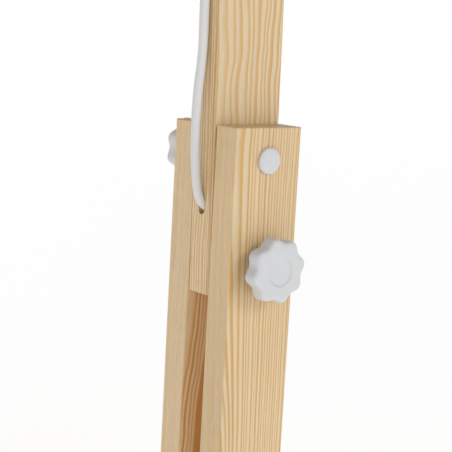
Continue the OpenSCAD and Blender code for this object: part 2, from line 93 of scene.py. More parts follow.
class EaselTimberSettings(bpy.types.PropertyGroup):
    early: colour_prop("Early wood", "Pale wood between the rings", (0.735, 0.575, 0.36))
    late: colour_prop("Late wood", "Dark line of a growth ring", (0.675, 0.42, 0.165))
    end_tone: FloatProperty(
        name="End grain",
        description="How light the sawn ends are against the faces",
        default=0.86,
        min=0.3,
        max=1.0,
        subtype="FACTOR",
    )
    lacquer: FloatProperty(
        name="Lacquer",
        description="Strength of the clear satin lacquer",
        default=0.18,
        min=0.0,
        max=1.0,
        subtype="FACTOR",
    )


class EaselHardwareSettings(bpy.types.PropertyGroup):
    white: colour_prop("White plastic", "Knobs, caps, cups and clips", (0.635, 0.64, 0.65))
    zinc: colour_prop("Zinc plate", "Screws, bolts and washers", (0.62, 0.62, 0.63))
    lobes: IntProperty(
        name="Knob lobes", description="Lobes round a star knob", default=8, min=5, max=12
    )
    lobe_depth: FloatProperty(
        name="Lobe depth",
        description="Height of a lobe over the valley beside it",
        default=2.6 * MM,
        min=1 * MM,
        max=6 * MM,
        unit="LENGTH",
        subtype="DISTANCE",
    )


class EaselCordSettings(bpy.types.PropertyGroup):
    diameter: FloatProperty(
        name="Diameter",
        description="Thickness of a side cord",
        default=5.8 * MM,
        min=4 * MM,
        max=6.4 * MM,
        unit="LENGTH",
        subtype="DISTANCE",
    )
    sheath: colour_prop("Sheath", "Colour of the cord's sheath", (0.70, 0.705, 0.70))


class EaselStudioSettings(bpy.types.PropertyGroup):
    floor: colour_prop("Floor", "Colour of the studio floor", (0.86, 0.86, 0.86))
    glow: FloatProperty(
        name="Floor glow",
        description="Light that the floor sheet gives off",
        default=0.54,
        min=0.0,
        max=2.0,
    )
    sky: FloatProperty(
        name="Soft light",
        description="Strength of the light tent",
        default=0.83,
        min=0.0,
        max=3.0,
    )
    key: FloatProperty(
        name="Key light", description="Strength of the main lamp", default=0.71, min=0.0
    )
    fill: FloatProperty(
        name="Fill light", description="Strength of the second lamp", default=0.28, min=0.0
    )


# Small tools ------------------------------------------------------------


def clear_selection():
    if bpy.context.object and bpy.context.object.mode != "OBJECT":
        bpy.ops.object.mode_set(mode="OBJECT")
    bpy.ops.object.select_all(action="DESELECT")


def only(piece):
    """Leaves edit mode and makes piece the one selected and active object."""
    clear_selection()
    piece.select_set(True)
    bpy.context.view_layer.objects.active = piece


def pick(piece, kind, test):
    """Selects the verts, edges or faces for which test is true, in edit mode."""
    bpy.ops.mesh.select_mode(type=kind)
    bpy.ops.mesh.select_all(action="DESELECT")
    shape = bmesh.from_edit_mesh(piece.data)
    for part in {"VERT": shape.verts, "EDGE": shape.edges, "FACE": shape.faces}[kind]:
        part.select = bool(test(part))
    shape.select_flush_mode()
    bmesh.update_edit_mesh(piece.data)


def from_axis(vert):
    """Distance of a vert from the Z axis."""
    return vert.co.to_2d().length


def scaled(factor, up=0.0):
    """Scales what is selected towards the Z axis, at the height up."""
    bpy.ops.transform.resize(value=(factor, factor, 1), center_override=(0, 0, up))


def finish_mesh(piece):
    """Doubles merged, faces outwards, smooth shading with crisp corners."""
    only(piece)
    bpy.ops.object.mode_set(mode="EDIT")
    bpy.ops.mesh.select_all(action="SELECT")
    bpy.ops.mesh.remove_doubles(threshold=MERGE_GAP)
    bpy.ops.mesh.normals_make_consistent(inside=False)
    bpy.ops.object.mode_set(mode="OBJECT")
    bpy.ops.object.shade_smooth_by_angle(angle=SMOOTH_ANGLE)


def put(piece, place):
    """Moves a piece modelled at the origin to its place, in its mesh."""
    only(piece)
    piece.matrix_world = place
    bpy.ops.object.transform_apply(location=True, rotation=True, scale=True)
    finish_mesh(piece)
    return piece


def copy_of(piece, name):
    only(piece)
    bpy.ops.object.duplicate(linked=False)
    twin = bpy.context.object
    twin.name = twin.data.name = name
    return twin


def placed_copies(model, places, name):
    """One piece made of a copy of the model at each of the places."""
    copies = [put(copy_of(model, "copy"), place) for place in places]
    bpy.data.objects.remove(model)
    clear_selection()
    for copy in copies:
        copy.select_set(True)
    bpy.context.view_layer.objects.active = copies[0]
    bpy.ops.object.join()
    whole = bpy.context.object
    whole.name = whole.data.name = name
    return whole


def smoothed(piece, levels=1):
    """Subdivides a piece's cage and finishes its mesh."""
    only(piece)
    soft = piece.modifiers.new("soft", "SUBSURF")
    soft.levels = soft.render_levels = levels
    bpy.ops.object.modifier_apply(modifier=soft.name)
    finish_mesh(piece)
    return piece


def turned(name, rings, sides, closed=False):
    """A turned body on Z, left in edit mode. rings are (radius, height) in
    millimetres from the first end to the last; closed joins the last to the first."""
    clear_selection()
    radius, height = rings[0]
    bpy.ops.mesh.primitive_circle_add(vertices=sides, radius=radius * MM)
    piece = bpy.context.object
    piece.name = piece.data.name = name
    bpy.ops.object.mode_set(mode="EDIT")
    bpy.ops.mesh.select_all(action="SELECT")
    bpy.ops.transform.translate(value=(0, 0, height * MM))
    if not closed:
        bpy.ops.mesh.extrude_region_move()
        bpy.ops.mesh.merge(type="CENTER")
        pick(piece, "EDGE", lambda e: all(from_axis(v) > TOUCHING for v in e.verts))
    for wide, high in rings[1:]:
        bpy.ops.mesh.extrude_region_move(
            TRANSFORM_OT_translate={"value": (0, 0, (high - height) * MM)}
        )
        scaled(wide / radius, high * MM)
        radius, height = wide, high
    if not closed:
        bpy.ops.mesh.extrude_region_move()
        bpy.ops.mesh.merge(type="CENTER")
        return piece

    def on_an_end(vert):
        return any(
            abs(from_axis(vert) - r * MM) < TOUCHING and abs(vert.co.z - h * MM) < TOUCHING
            for r, h in (rings[0], rings[-1])
        )

    pick(piece, "EDGE", lambda e: len(e.link_faces) == 1 and all(map(on_an_end, e.verts)))
    bpy.ops.mesh.bridge_edge_loops()
    return piece


def axis_frame(home, x, across, along, way):
    """Frame of a turned piece whose Z points along way * X, at (across, along) in home.
    Its own X points along home's Y and its own Y along home's Z."""
    turn = Matrix(((0, 0, way, x), (1, 0, 0, across), (0, 1, 0, along), (0, 0, 0, 1)))
    return home @ turn


def middle_of(node):
    low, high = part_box(node)
    return (low + high) / 2


def dress(node_name, finish):
    """Gives a CAD node its finish."""
    node = frame["nodes"][node_name]
    if not node.material_slots:
        node.data.materials.append(finish)
    for place in node.material_slots:
        place.material = finish


def settle(piece, finish, body, slot, *nodes):
    """Finish, body and replaced nodes of a new piece; its slot argument is not used."""
    piece.data.materials.clear()
    piece.data.materials.append(finish)
    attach(piece, body)
    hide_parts(*nodes)


# Shader tools -----------------------------------------------------------


def new_finish(name):
    """A material, its node tree, its shader and its surface's coordinates."""
    finish = bpy.data.materials.new(name)
    finish.use_nodes = True
    tree = finish.node_tree
    tree.nodes.clear()
    sheet = tree.nodes.new("ShaderNodeOutputMaterial")
    shader = tree.nodes.new("ShaderNodeBsdfPrincipled")
    tree.links.new(shader.outputs["BSDF"], sheet.inputs["Surface"])
    return finish, tree, shader, tree.nodes.new("ShaderNodeTexCoord").outputs


def feed(tree, socket, value):
    """Links the socket to value, or sets it if value isn't a socket itself."""
    if isinstance(value, bpy.types.NodeSocket):
        tree.links.new(value, socket)
    else:
        socket.default_value = value


def add(tree, kind, inputs=None, **settings):
    made = tree.nodes.new("ShaderNode" + kind)
    for key, value in settings.items():
        setattr(made, key, value)
    for key, value in (inputs or {}).items():
        feed(tree, made.inputs[key], value)
    return made


def calc(tree, operation, first, second=0.0, third=0.0):
    inputs = {0: first, 1: second, 2: third}
    return add(tree, "Math", inputs, operation=operation).outputs[0]


def sway(tree, noise, amount, base):
    """base, raised or lowered by up to half the amount as the noise varies."""
    return calc(tree, "MULTIPLY_ADD", calc(tree, "SUBTRACT", noise, 0.5), amount, base)


def spread(tree, value, low, high, to_low=0.0, to_high=1.0):
    """Eases value from to_low at low to to_high at high."""
    ends = {"From Min": low, "From Max": high, "To Min": to_low, "To Max": to_high}
    made = add(tree, "MapRange", {"Value": value, **ends}, interpolation_type="SMOOTHSTEP")
    return made.outputs["Result"]


def ramp(tree, value, stops):
    made = add(tree, "ValToRGB", {"Fac": value})
    band = made.color_ramp
    band.elements.remove(band.elements[-1])
    band.elements[0].position = stops[0][0]
    band.elements[0].color = (*stops[0][1], 1)
    for at, tone in stops[1:]:
        band.elements.new(at).color = (*tone, 1)
    return made.outputs["Color"]


def blend_tones(tree, amount, first, second, mode="MIX"):
    made = add(tree, "Mix", {0: amount}, data_type="RGBA", blend_type=mode)
    for at, tone in ((6, first), (7, second)):
        feed(tree, made.inputs[at], (*tone, 1) if isinstance(tone, tuple) else tone)
    return made.outputs[2]


def shaded(tree, tone, grey):
    """tone, lighter or darker where grey is over or under 1."""
    shade = add(tree, "CombineXYZ", {"X": grey, "Y": grey, "Z": grey}).outputs[0]
    return blend_tones(tree, 1.0, tone, shade, "MULTIPLY")


def noise(tree, vector, scale, detail=2.0, rough=0.5, shift=(0, 0, 0)):
    """Noise of scale cells per metre, one number or one for each axis."""
    scale = scale if isinstance(scale, tuple) else (scale,) * 3
    fit = {"Vector": vector, "Location": shift, "Scale": scale}
    fitted = add(tree, "Mapping", fit).outputs[0]
    look = {"Vector": fitted, "Scale": 1.0, "Detail": detail, "Roughness": rough}
    return add(tree, "TexNoise", look).outputs["Fac"]


def noise_line(tree, kind, at, output, **inputs):
    """Noise along one number."""
    return add(tree, kind, {"W": at, **inputs}, noise_dimensions="1D").outputs[output]


def in_frame(tree, home, vector, **inputs):
    """A vector of the surface, as the frame home has it."""
    inputs = {"Vector": vector, "Rotation": home.to_euler(), **inputs}
    return add(tree, "Mapping", inputs, vector_type="TEXTURE").outputs[0]


def apart(tree, vector):
    return add(tree, "SeparateXYZ", {"Vector": vector}).outputs


def reach(tree, x, y):
    """Distance of (x, y) from the axis."""
    flat = add(tree, "CombineXYZ", {"X": x, "Y": y, "Z": 0.0}).outputs[0]
    return add(tree, "VectorMath", {0: flat}, operation="LENGTH").outputs["Value"]


def faces(tree, direction, low, high):
    """1 on faces square to a direction, fading to 0 as they turn away."""
    return spread(tree, calc(tree, "ABSOLUTE", direction), low, high)


def surface(tree, shader, tone, rough, height, relief, strength):
    """Colour, roughness and relief of a finish, the relief in microns."""
    feed(tree, shader.inputs["Base Color"], tone)
    feed(tree, shader.inputs["Roughness"], rough)
    bump = {"Height": height, "Distance": relief * MICRON, "Strength": strength}
    tree.links.new(add(tree, "Bump", bump).outputs[0], shader.inputs["Normal"])


# Finishes ---------------------------------------------------------------

# Figures of the timber, in cells per metre across, across and along the grain
FIBRES = (1150, 1150, 55)
STRANDS = (420, 420, 22)
SHORT_FIBRES = (900, 900, 130)
RESIN_CANALS = (2400, 2400, 170)
PATCHES = (16, 16, 5)
FADING = (12, 12, 6)
WAVES_ACROSS = 30
RIPPLES_ACROSS = 90
RIPPLES_PER_WAVE = 2.6
# How far across a ring its dark line begins and is full, then begins to end and ends
LINE_RISE = (0.30, 0.84)
LINE_DROP = (0.87, 1.0)
FAINTEST_LINE = 0.42
LINE_ON_SAWN_END = 0.45
# Half width of a darker band along the grain and the reach of its soft edge
STREAK_CORE = 0.9 * MM
STREAK_EDGE = 2.1 * MM
STREAK_TONE = (0.74, 0.62, 0.47)
PAPER_TURN = 0.9 * MM
CORE_TURN = 60 * MM


def pine(
    name,
    home,
    pith=(-45, -70),
    ring=2.4,
    grow=1.0,
    drift=(0.0, 0.0),
    bow=0.0,
    wave=1.2,
    wave_length=60,
    depth=1.0,
    calm=0.0,
    tone=(1.0, 1.0, 1.0),
    wide_tint_and_painted_light=(1.0, 1.0, 1.0),
    late_tone=(1.0, 1.0, 1.0),
    seed=0.0,
    uneven=1.5,
    streak=None,
):
    """Clear lacquered pine in the timber's frame home, Z along the grain.

    pith, ring, wave and wave_length are in millimetres. grow narrows the rings away
    from the pith, drift is how far the pith wanders for each millimetre of length, and
    bow how it curves. depth is the strength of the dark lines, calm fades them on the
    narrow faces, and uneven varies their distances. tone tints the timber and late_tone
    its dark lines. The wide faces take a tint of their own, which also carries painted
    light: painted shade that keeps the upright's wide faces darker than its narrow faces,
    and painted warm bounce light on the inner slat's wide faces. streak is the point in
    the cross-section where a darker band runs along the grain."""
    timber = bpy.context.scene.easel_timber
    finish, tree, shader, place = new_finish(name)
    local = in_frame(tree, home, place["Object"], Location=home.to_translation())

    # Distance from the pith, bent by slow waves
    at = apart(tree, local)
    x = calc(tree, "SUBTRACT", at["X"], pith[0] * MM)
    y = calc(tree, "SUBTRACT", at["Y"], pith[1] * MM)
    x = calc(tree, "MULTIPLY_ADD", at["Z"], -drift[0], x)
    y = calc(tree, "MULTIPLY_ADD", at["Z"], -drift[1], y)
    x = calc(tree, "MULTIPLY_ADD", calc(tree, "MULTIPLY", at["Z"], at["Z"]), -bow, x)
    slow = 1000.0 / wave_length
    waves = noise(
        tree, local, (WAVES_ACROSS, WAVES_ACROSS, slow), 1.0, 0.4, (seed, 2 * seed, 3 * seed)
    )
    ripple_scale = (RIPPLES_ACROSS, RIPPLES_ACROSS, RIPPLES_PER_WAVE * slow)
    ripple = noise(tree, local, ripple_scale, 1.0, 0.5, (5 * seed, seed, 0))
    far = sway(tree, waves, 4 * wave * MM, reach(tree, x, y))
    far = sway(tree, ripple, wave * MM, far)

    # Rings counted from the pith, and one ring: pale, slowly darker, quickly pale
    count = calc(tree, "POWER", calc(tree, "DIVIDE", far, ring * MM), grow)
    years = calc(tree, "MULTIPLY_ADD", count, 0.45, seed)
    season = noise_line(tree, "TexNoise", years, "Fac", Scale=1.0, Detail=0.0)
    count = calc(tree, "MULTIPLY_ADD", season, uneven, count)
    part = calc(tree, "FRACT", count)
    drop = spread(tree, part, *LINE_DROP, 1.0, 0.0)
    line = calc(tree, "MULTIPLY", spread(tree, part, *LINE_RISE), drop)
    number = calc(tree, "ADD", calc(tree, "FLOOR", count), seed)
    each = noise_line(tree, "TexWhiteNoise", number, "Value")
    line = calc(tree, "MULTIPLY", line, spread(tree, each, 0.0, 1.0, FAINTEST_LINE, 1.0))
    fading = noise(tree, local, FADING, 1.0, 0.5, (0, seed, seed))
    line = calc(tree, "MULTIPLY", line, spread(tree, fading, 0.3, 0.7, 0.75, 1.0))

    # Which face this is, from the surface's own direction
    facing = apart(tree, in_frame(tree, home, place["Normal"]))
    wide = faces(tree, facing["X"], 0.5, 0.95)
    narrow = faces(tree, facing["Y"], 0.5, 0.95)
    sawn = faces(tree, facing["Z"], 0.6, 0.95)
    line = calc(tree, "MULTIPLY", line, spread(tree, narrow, 0, 1, 1.0, 1.0 - calm))
    line = calc(tree, "MULTIPLY", line, depth)
    line = calc(tree, "MULTIPLY_ADD", narrow, 0.12 * calm, line)
    line = calc(tree, "MULTIPLY", line, spread(tree, sawn, 0, 1, 1.0, LINE_ON_SAWN_END))

    # Fibres, resin canals and broad patches
    fibre = noise(tree, local, FIBRES, 2.0, 0.6, (seed, 0, 0))
    strand = noise(tree, local, STRANDS, 2.0, 0.6, (0, seed, 0))
    canal = noise(tree, local, RESIN_CANALS, 0.0, 0.5, (0, 0, seed))
    patch = noise(tree, local, PATCHES, 2.0, 0.5, (seed, seed, 0))
    short = noise(tree, local, SHORT_FIBRES, 1.0, 0.5, (seed, 0, seed))
    short = calc(tree, "MULTIPLY", calc(tree, "SUBTRACT", short, 0.5), narrow)
    grey = sway(tree, fibre, 0.2, 1.0)
    grey = calc(tree, "MULTIPLY_ADD", short, 0.24, grey)
    grey = sway(tree, strand, 0.15, grey)
    grey = sway(tree, patch, 0.12, grey)
    grey = calc(tree, "MULTIPLY_ADD", spread(tree, canal, 0.74, 0.80), -0.16, grey)
    end_grain = spread(tree, sawn, 0, 1, 1.0, timber.end_tone)
    grey = calc(tree, "MULTIPLY", grey, end_grain)

    early = tuple(a * b for a, b in zip(timber.early, tone))
    late = tuple(a * b * c for a, b, c in zip(timber.late, tone, late_tone))
    deep = tuple(a * 0.93 for a in late)
    body = ramp(tree, line, [(0.0, early), (0.62, late), (1.0, deep)])
    body = shaded(tree, body, grey)
    if streak:
        # A darker band along the grain, centred on the point streak in the cross-section
        side = calc(tree, "SUBTRACT", at["X"], streak[0] * MM)
        off = reach(tree, side, calc(tree, "SUBTRACT", at["Y"], streak[1] * MM))
        off = calc(tree, "MULTIPLY_ADD", waves, 1.6 * MM, off)
        dark_band_mask = spread(tree, off, STREAK_CORE, STREAK_EDGE, 0.9, 0.0)
        brown = blend_tones(tree, 1.0, body, STREAK_TONE, "MULTIPLY")
        body = blend_tones(tree, dark_band_mask, body, brown)
    # Wide faces take their own tint. For the upright it paints shade on them, and for the inner
    # slat it paints warm bounce light.
    wide_tinted_and_lit = blend_tones(tree, 1.0, body, wide_tint_and_painted_light, "MULTIPLY")
    body = blend_tones(tree, wide, body, wide_tinted_and_lit)
    rough = calc(tree, "MULTIPLY_ADD", fibre, 0.14, 0.40)
    rough = calc(tree, "MULTIPLY_ADD", sawn, 0.16, rough)
    height = calc(tree, "MULTIPLY_ADD", line, 0.35, calc(tree, "MULTIPLY", fibre, 0.65))
    surface(tree, shader, body, rough, height, 60, 0.6)
    shader.inputs["Coat Weight"].default_value = timber.lacquer
    shader.inputs["Coat Roughness"].default_value = 0.3
    return finish


def plastic(name, tone, rough=0.42):
    """Moulded plastic: a fine spark-eroded grain, faint flow marks and handling."""
    finish, tree, shader, place = new_finish(name)
    grain = noise(tree, place["Object"], 2600, 1.0)
    flow = noise(tree, place["Object"], 55, 3.0, 0.55, (3, 1, 2))
    wear = noise(tree, place["Object"], 300, 2.0, 0.6)
    body = shaded(tree, tuple(tone), sway(tree, wear, 0.03, sway(tree, flow, 0.06, 1.0)))
    rough = calc(tree, "MULTIPLY_ADD", wear, 0.16, rough - 0.08)
    surface(tree, shader, body, rough, grain, 30, 0.5)
    return finish


def metal(name, tone, rough, along=900, stain=0.12):
    """Plated or turned metal: fine scratches and cloudy stains."""
    finish, tree, shader, place = new_finish(name)
    scratch = noise(tree, place["Object"], along, 3.0, 0.6)
    cloud = noise(tree, place["Object"], 120, 3.0)
    body = shaded(tree, tuple(tone), sway(tree, cloud, 2 * stain, 1.0))
    rough = calc(tree, "MULTIPLY_ADD", scratch, 0.25, rough - 0.1)
    surface(tree, shader, body, rough, scratch, 20, 0.4)
    shader.inputs["Metallic"].default_value = 1.0
    return finish


def rubber():
    """Dark grey rubber with dust in its grain."""
    finish, tree, shader, place = new_finish("grey_rubber")
    grain = noise(tree, place["Object"], 1600, 2.0, 0.6)
    dust = noise(tree, place["Object"], 90, 3.0, 0.6)
    body = ramp(tree, dust, [(0.3, (0.05, 0.05, 0.052)), (0.75, (0.1, 0.098, 0.094))])
    rough = calc(tree, "MULTIPLY_ADD", dust, 0.2, 0.68)
    surface(tree, shader, body, rough, grain, 60, 0.6)
    return finish


def hardboard():
    """Pressed brown fibres with pale flecks."""
    finish, tree, shader, place = new_finish("brown_hardboard")
    fibres = noise(tree, place["Object"], (700, 240, 700), 4.0, 0.7)
    flecks = noise(tree, place["Object"], (1800, 900, 1800), 1.0)
    dark, brown, pale = (0.17, 0.095, 0.045), (0.3, 0.18, 0.09), (0.42, 0.28, 0.16)
    body = ramp(tree, fibres, [(0.25, dark), (0.55, brown), (0.8, pale)])
    body = blend_tones(tree, spread(tree, flecks, 0.6, 0.75, 0, 0.5), body, (0.5, 0.36, 0.22))
    surface(tree, shader, body, 0.75, fibres, 100, 0.7)
    return finish


def marker_board():
    """White writing face: hard lacquer with faint wiped pen haze and orange peel."""
    finish, tree, shader, place = new_finish("white_writing_face")
    peel = noise(tree, place["Object"], 260, 1.0, 0.4)
    haze = noise(tree, place["Object"], (9, 9, 4), 4.0, 0.6)
    streak = noise(tree, place["Object"], (8, 60, 60), 3.0, 0.6, (4, 0, 0))
    wiped = calc(tree, "MULTIPLY", spread(tree, haze, 0.45, 0.75), streak)
    body = blend_tones(tree, wiped, (0.83, 0.835, 0.84), (0.74, 0.75, 0.77))
    surface(tree, shader, body, calc(tree, "MULTIPLY_ADD", wiped, 0.2, 0.14), peel, 30, 0.25)
    return finish


def chalk_board():
    """Dark writing face with wiped chalk dust in arm-wide sweeps."""
    finish, tree, shader, place = new_finish("chalk_writing_face")
    tooth = noise(tree, place["Object"], 1500, 2.0, 0.6)
    cloud = noise(tree, place["Object"], (7, 7, 9), 4.0, 0.6)
    sweep = noise(tree, place["Object"], (14, 80, 80), 4.0, 0.65, (0, 2, 0))
    dust = calc(tree, "MULTIPLY", spread(tree, cloud, 0.4, 0.75), sweep)
    dust = calc(tree, "MULTIPLY", dust, spread(tree, tooth, 0.35, 0.65, 0.3, 1.0))
    dust = calc(tree, "MULTIPLY", dust, 0.45)
    body = blend_tones(tree, dust, (0.03, 0.05, 0.045), (0.6, 0.61, 0.6))
    surface(tree, shader, body, 0.88, tooth, 80, 0.6)
    return finish


def drawing_paper(home):
    """Uncoated paper: soft fibre mottle, and the fine edges of a wound roll at its ends."""
    finish, tree, shader, place = new_finish("drawing_paper")
    local = in_frame(tree, home, place["Object"], Location=home.to_translation())
    pulp = noise(tree, local, 500, 3.0, 0.6)
    cloud = noise(tree, local, 25)
    at = apart(tree, local)
    turn = calc(tree, "MULTIPLY", reach(tree, at["X"], at["Y"]), FULL_TURN / PAPER_TURN)
    turns = calc(tree, "SINE", turn)
    end = faces(tree, apart(tree, in_frame(tree, home, place["Normal"]))["Z"], 0.7, 0.95)
    lines = calc(tree, "MULTIPLY", end, spread(tree, turns, -1, 1, 0.0, 0.14))
    grey = sway(tree, pulp, 0.06, sway(tree, cloud, 0.05, 0.98))
    body = shaded(tree, (0.84, 0.83, 0.8), calc(tree, "SUBTRACT", grey, lines))
    height = calc(tree, "MULTIPLY_ADD", calc(tree, "MULTIPLY", end, turns), 1.5, pulp)
    surface(tree, shader, body, 0.9, height, 50, 0.5)
    return finish


def kraft_board(home):
    """Brown core tube with the seam of its spiral winding."""
    finish, tree, shader, place = new_finish("kraft_board")
    local = in_frame(tree, home, place["Object"], Location=home.to_translation())
    pulp = noise(tree, local, 300, 4.0, 0.65)
    at = apart(tree, local)
    spin = calc(tree, "DIVIDE", calc(tree, "ARCTAN2", at["Y"], at["X"]), FULL_TURN)
    seam = calc(tree, "MULTIPLY_ADD", at["Z"], 1 / CORE_TURN, spin)
    seam = spread(tree, calc(tree, "PINGPONG", seam, 0.5), 0.0, 0.02, 1.0, 0.0)
    body = ramp(tree, pulp, [(0.3, (0.36, 0.24, 0.14)), (0.7, (0.52, 0.38, 0.24))])
    body = blend_tones(tree, calc(tree, "MULTIPLY", seam, 0.6), body, (0.2, 0.13, 0.07))
    surface(tree, shader, body, 0.85, pulp, 80, 0.5)
    return finish


def cord_sheath():
    """Smooth extruded sheath: faint lengthwise draw lines and soft scuffs."""
    finish, tree, shader, place = new_finish("cord_sheath")
    draw = noise(tree, place["Object"], (1400, 1400, 12))
    scuff = noise(tree, place["Object"], (260, 260, 60), 3.0, 0.6)
    grey = sway(tree, scuff, 0.06, sway(tree, draw, 0.05, 1.0))
    body = shaded(tree, tuple(bpy.context.scene.easel_cord.sheath), grey)
    surface(tree, shader, body, calc(tree, "MULTIPLY_ADD", scuff, 0.18, 0.36), draw, 30, 0.4)
    return finish


# Camera -----------------------------------------------------------------

VIEW_POINT = Vector((0.29425, 0.0023, 0.4522))
VIEW_AZIMUTH = math.radians(51.6)
VIEW_RISE = math.radians(11.6)
VIEW_DISTANCE = 0.780
VIEW_LENS = 103.1
SENSOR_WIDTH = 36.0


class EASEL_OT_camera(bpy.types.Operator):
    """Stands the camera in front of the right clamp joint"""

    bl_idname = "easel.camera"
    bl_label = "Camera"

    def execute(self, context):
        back = Vector(
            (
                math.sin(VIEW_AZIMUTH) * math.cos(VIEW_RISE),
                -math.cos(VIEW_AZIMUTH) * math.cos(VIEW_RISE),
                math.sin(VIEW_RISE),
            )
        )
        lens = bpy.data.cameras.new("camera")
        lens.lens, lens.sensor_width = VIEW_LENS, SENSOR_WIDTH
        lens.clip_start, lens.clip_end = 0.02, 200.0
        camera = bpy.data.objects.new("camera", lens)
        context.scene.collection.objects.link(camera)
        camera.location = VIEW_POINT + back * VIEW_DISTANCE
        camera.rotation_euler = (-back).to_track_quat("-Z", "Y").to_euler()
        context.scene.camera = camera
        return {"FINISHED"}


# Side cords -------------------------------------------------------------

POST_X = 270 * MM
POST_FRONT = -26.1 * MM
CORD_ROUNDNESS = 7
CORD_STEPS = 8
# Centreline of a cord in the board frame: millimetres out from the upright's front
# edge, and up from the pivot
CORD_ROUTE = (
    (-12.6, -38.05), (-9.5, -35.6), (-6.3, -33.1), (-3.95, -31.3), (-1.7, -29.5),
    (-0.8, -28.7), (0.1, -27.8), (0.95, -26.6), (1.65, -25.4), (2.6, -23.4),
    (4.1, -18.5), (5.1, -12), (5.9, -4), (6.6, 6), (6.9, 18), (6.5, 32), (5.6, 45),
    (4.2, 57), (3.4, 70), (3.2, 90), (3.2, 140), (3.2, 190), (3.2, 240), (3.2, 290),
    (3.2, 340), (3.2, 390), (3.2, 440), (3.2, 490), (3.2, 530), (3.3, 548),
    (3.6, 560), (3.4, 566.5), (1.9, 571.8), (-0.4, 576), (-3.1, 580.4),
    (-5.6, 584.7), (-8, 588.9),
)


def cord_point(out, up, side):
    return BOARD_FRAME @ Vector((side * POST_X, POST_FRONT - out * MM, up * MM))


class EASEL_OT_side_cords(bpy.types.Operator):
    """Lays the two side cords along the uprights, from hole to hole"""

    bl_idname = "easel.side_cords"
    bl_label = "Side cords"

    def execute(self, context):
        thick = context.scene.easel_cord.diameter
        sheath = cord_sheath()
        for side, way in SIDES.items():
            line = bpy.data.curves.new(side + "_side_cord", "CURVE")
            line.dimensions = "3D"
            line.bevel_depth = thick / 2
            line.bevel_resolution = CORD_ROUNDNESS
            line.use_fill_caps = True
            line.resolution_u = CORD_STEPS
            spline = line.splines.new("BEZIER")
            spline.bezier_points.add(len(CORD_ROUTE) - 1)
            for knot, (out, up) in zip(spline.bezier_points, CORD_ROUTE):
                knot.co = cord_point(out, up, way)
                knot.handle_left_type = knot.handle_right_type = "AUTO"
            cord = bpy.data.objects.new(side + "_side_cord", line)
            context.scene.collection.objects.link(cord)
            settle(cord, sheath, "board_frame", "cord", side + "_cord")
        return {"FINISHED"}


# Timber -----------------------------------------------------------------


def lying_frame(home, along, up=0.0):
    """Frame of a board whose grain runs across the easel or front to back."""
    lay = {
        "X": Matrix.Rotation(math.radians(90), 4, "Y"),
        "Y": Matrix.Rotation(math.radians(-90), 4, "X"),
    }[along]
    return home @ Matrix.Translation((0, 0, up * MM)) @ lay


# The cut of each slat and upright from its log
SLAT_CUTS = {
    "right_outer_leg": dict(
        pith=(-9, -29), ring=5.4, grow=1.34, drift=(-0.012, 0.01), bow=0.27, wave=0.55,
        wave_length=80, depth=1.3, calm=0.9, seed=2.3, uneven=1.3,
        tone=(0.96, 0.94, 0.89), wide_tint_and_painted_light=(1.005, 1.025, 1.075),
        late_tone=(0.97, 0.91, 0.78),
    ),
    "right_inner_leg": dict(
        pith=(-16, -40), ring=4.8, grow=1.2, drift=(0.04, -0.05), wave=2.2,
        wave_length=110, depth=1.5, calm=0.9, seed=7.9, uneven=2.2,
        # Warmer wide faces: painted warm bounce light from the gap between the slats
        wide_tint_and_painted_light=(1.1, 1.02, 0.94), late_tone=(0.86, 0.72, 0.52),
    ),
    "right_post": dict(
        pith=(-257, -155), ring=2.3, wave=1.0, wave_length=40, depth=1.15, seed=6.4,
        # tone and the wide-face tint paint the upright's narrow faces lighter than its wide
        # faces, as painted light and shade
        uneven=1.1, calm=-0.8, tone=(1.03, 1.03, 1.04), wide_tint_and_painted_light=(0.93, 0.93, 0.93),
        # The darker band runs along the upright's front outer corner edge
        streak=(8.6, -26.1),
    ),
    "left_outer_leg": dict(
        pith=(16, 34), ring=4.4, grow=1.3, drift=(0.04, 0.01), wave=0.7,
        wave_length=110, depth=0.9, calm=0.7, seed=11.7,
    ),
    "left_inner_leg": dict(
        pith=(14, -40), ring=3.9, grow=1.2, drift=(-0.03, 0.02), wave=1.0,
        wave_length=95, depth=0.95, calm=0.75, seed=15.2,
    ),
    "left_post": dict(
        pith=(55, -60), ring=2.5, wave=0.9, wave_length=55, depth=1.0, seed=19.6,
    ),
}
# Heights over the pivot, in millimetres
STRETCHER_UP = -370
TRAY_UP = 138
RAIL_UPS = {"bottom_rail": 143, "top_rail": 565}


class EASEL_OT_slats(bpy.types.Operator):
    """Finishes the four leg slats and the two uprights in lacquered pine"""

    bl_idname = "easel.slats"
    bl_label = "Legs and uprights"

    def execute(self, context):
        for node, cut in SLAT_CUTS.items():
            home = BOARD_FRAME if node.endswith("post") else LEG_FRAME
            home = home @ Matrix.Translation((middle_of(node).x, 0, 0))
            dress(node, pine("pine_" + node, home, **cut))
        return {"FINISHED"}


class EASEL_OT_base_timber(bpy.types.Operator):
    """Finishes the foot runners and the stretcher"""

    bl_idname = "easel.base_timber"
    bl_label = "Feet and stretcher"

    def execute(self, context):
        for side, seed in zip(SIDES, (23.1, 27.4)):
            node = side + "_foot"
            foot = Matrix.Translation((middle_of(node).x, 0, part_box(node)[0].z))
            home = lying_frame(foot, "Y")
            dress(
                node,
                pine("pine_" + node, home, pith=(-30, 60), ring=2.9, wave=0.9,
                     wave_length=110, seed=seed, drift=(0.02, 0.01)),
            )
        dress(
            "stretcher",
            pine("pine_stretcher", lying_frame(LEG_FRAME, "X", STRETCHER_UP),
                 pith=(-58, -30), ring=3.2, wave=1.1, wave_length=130, seed=31.8,
                 drift=(0.03, 0.02)),
        )
        return {"FINISHED"}


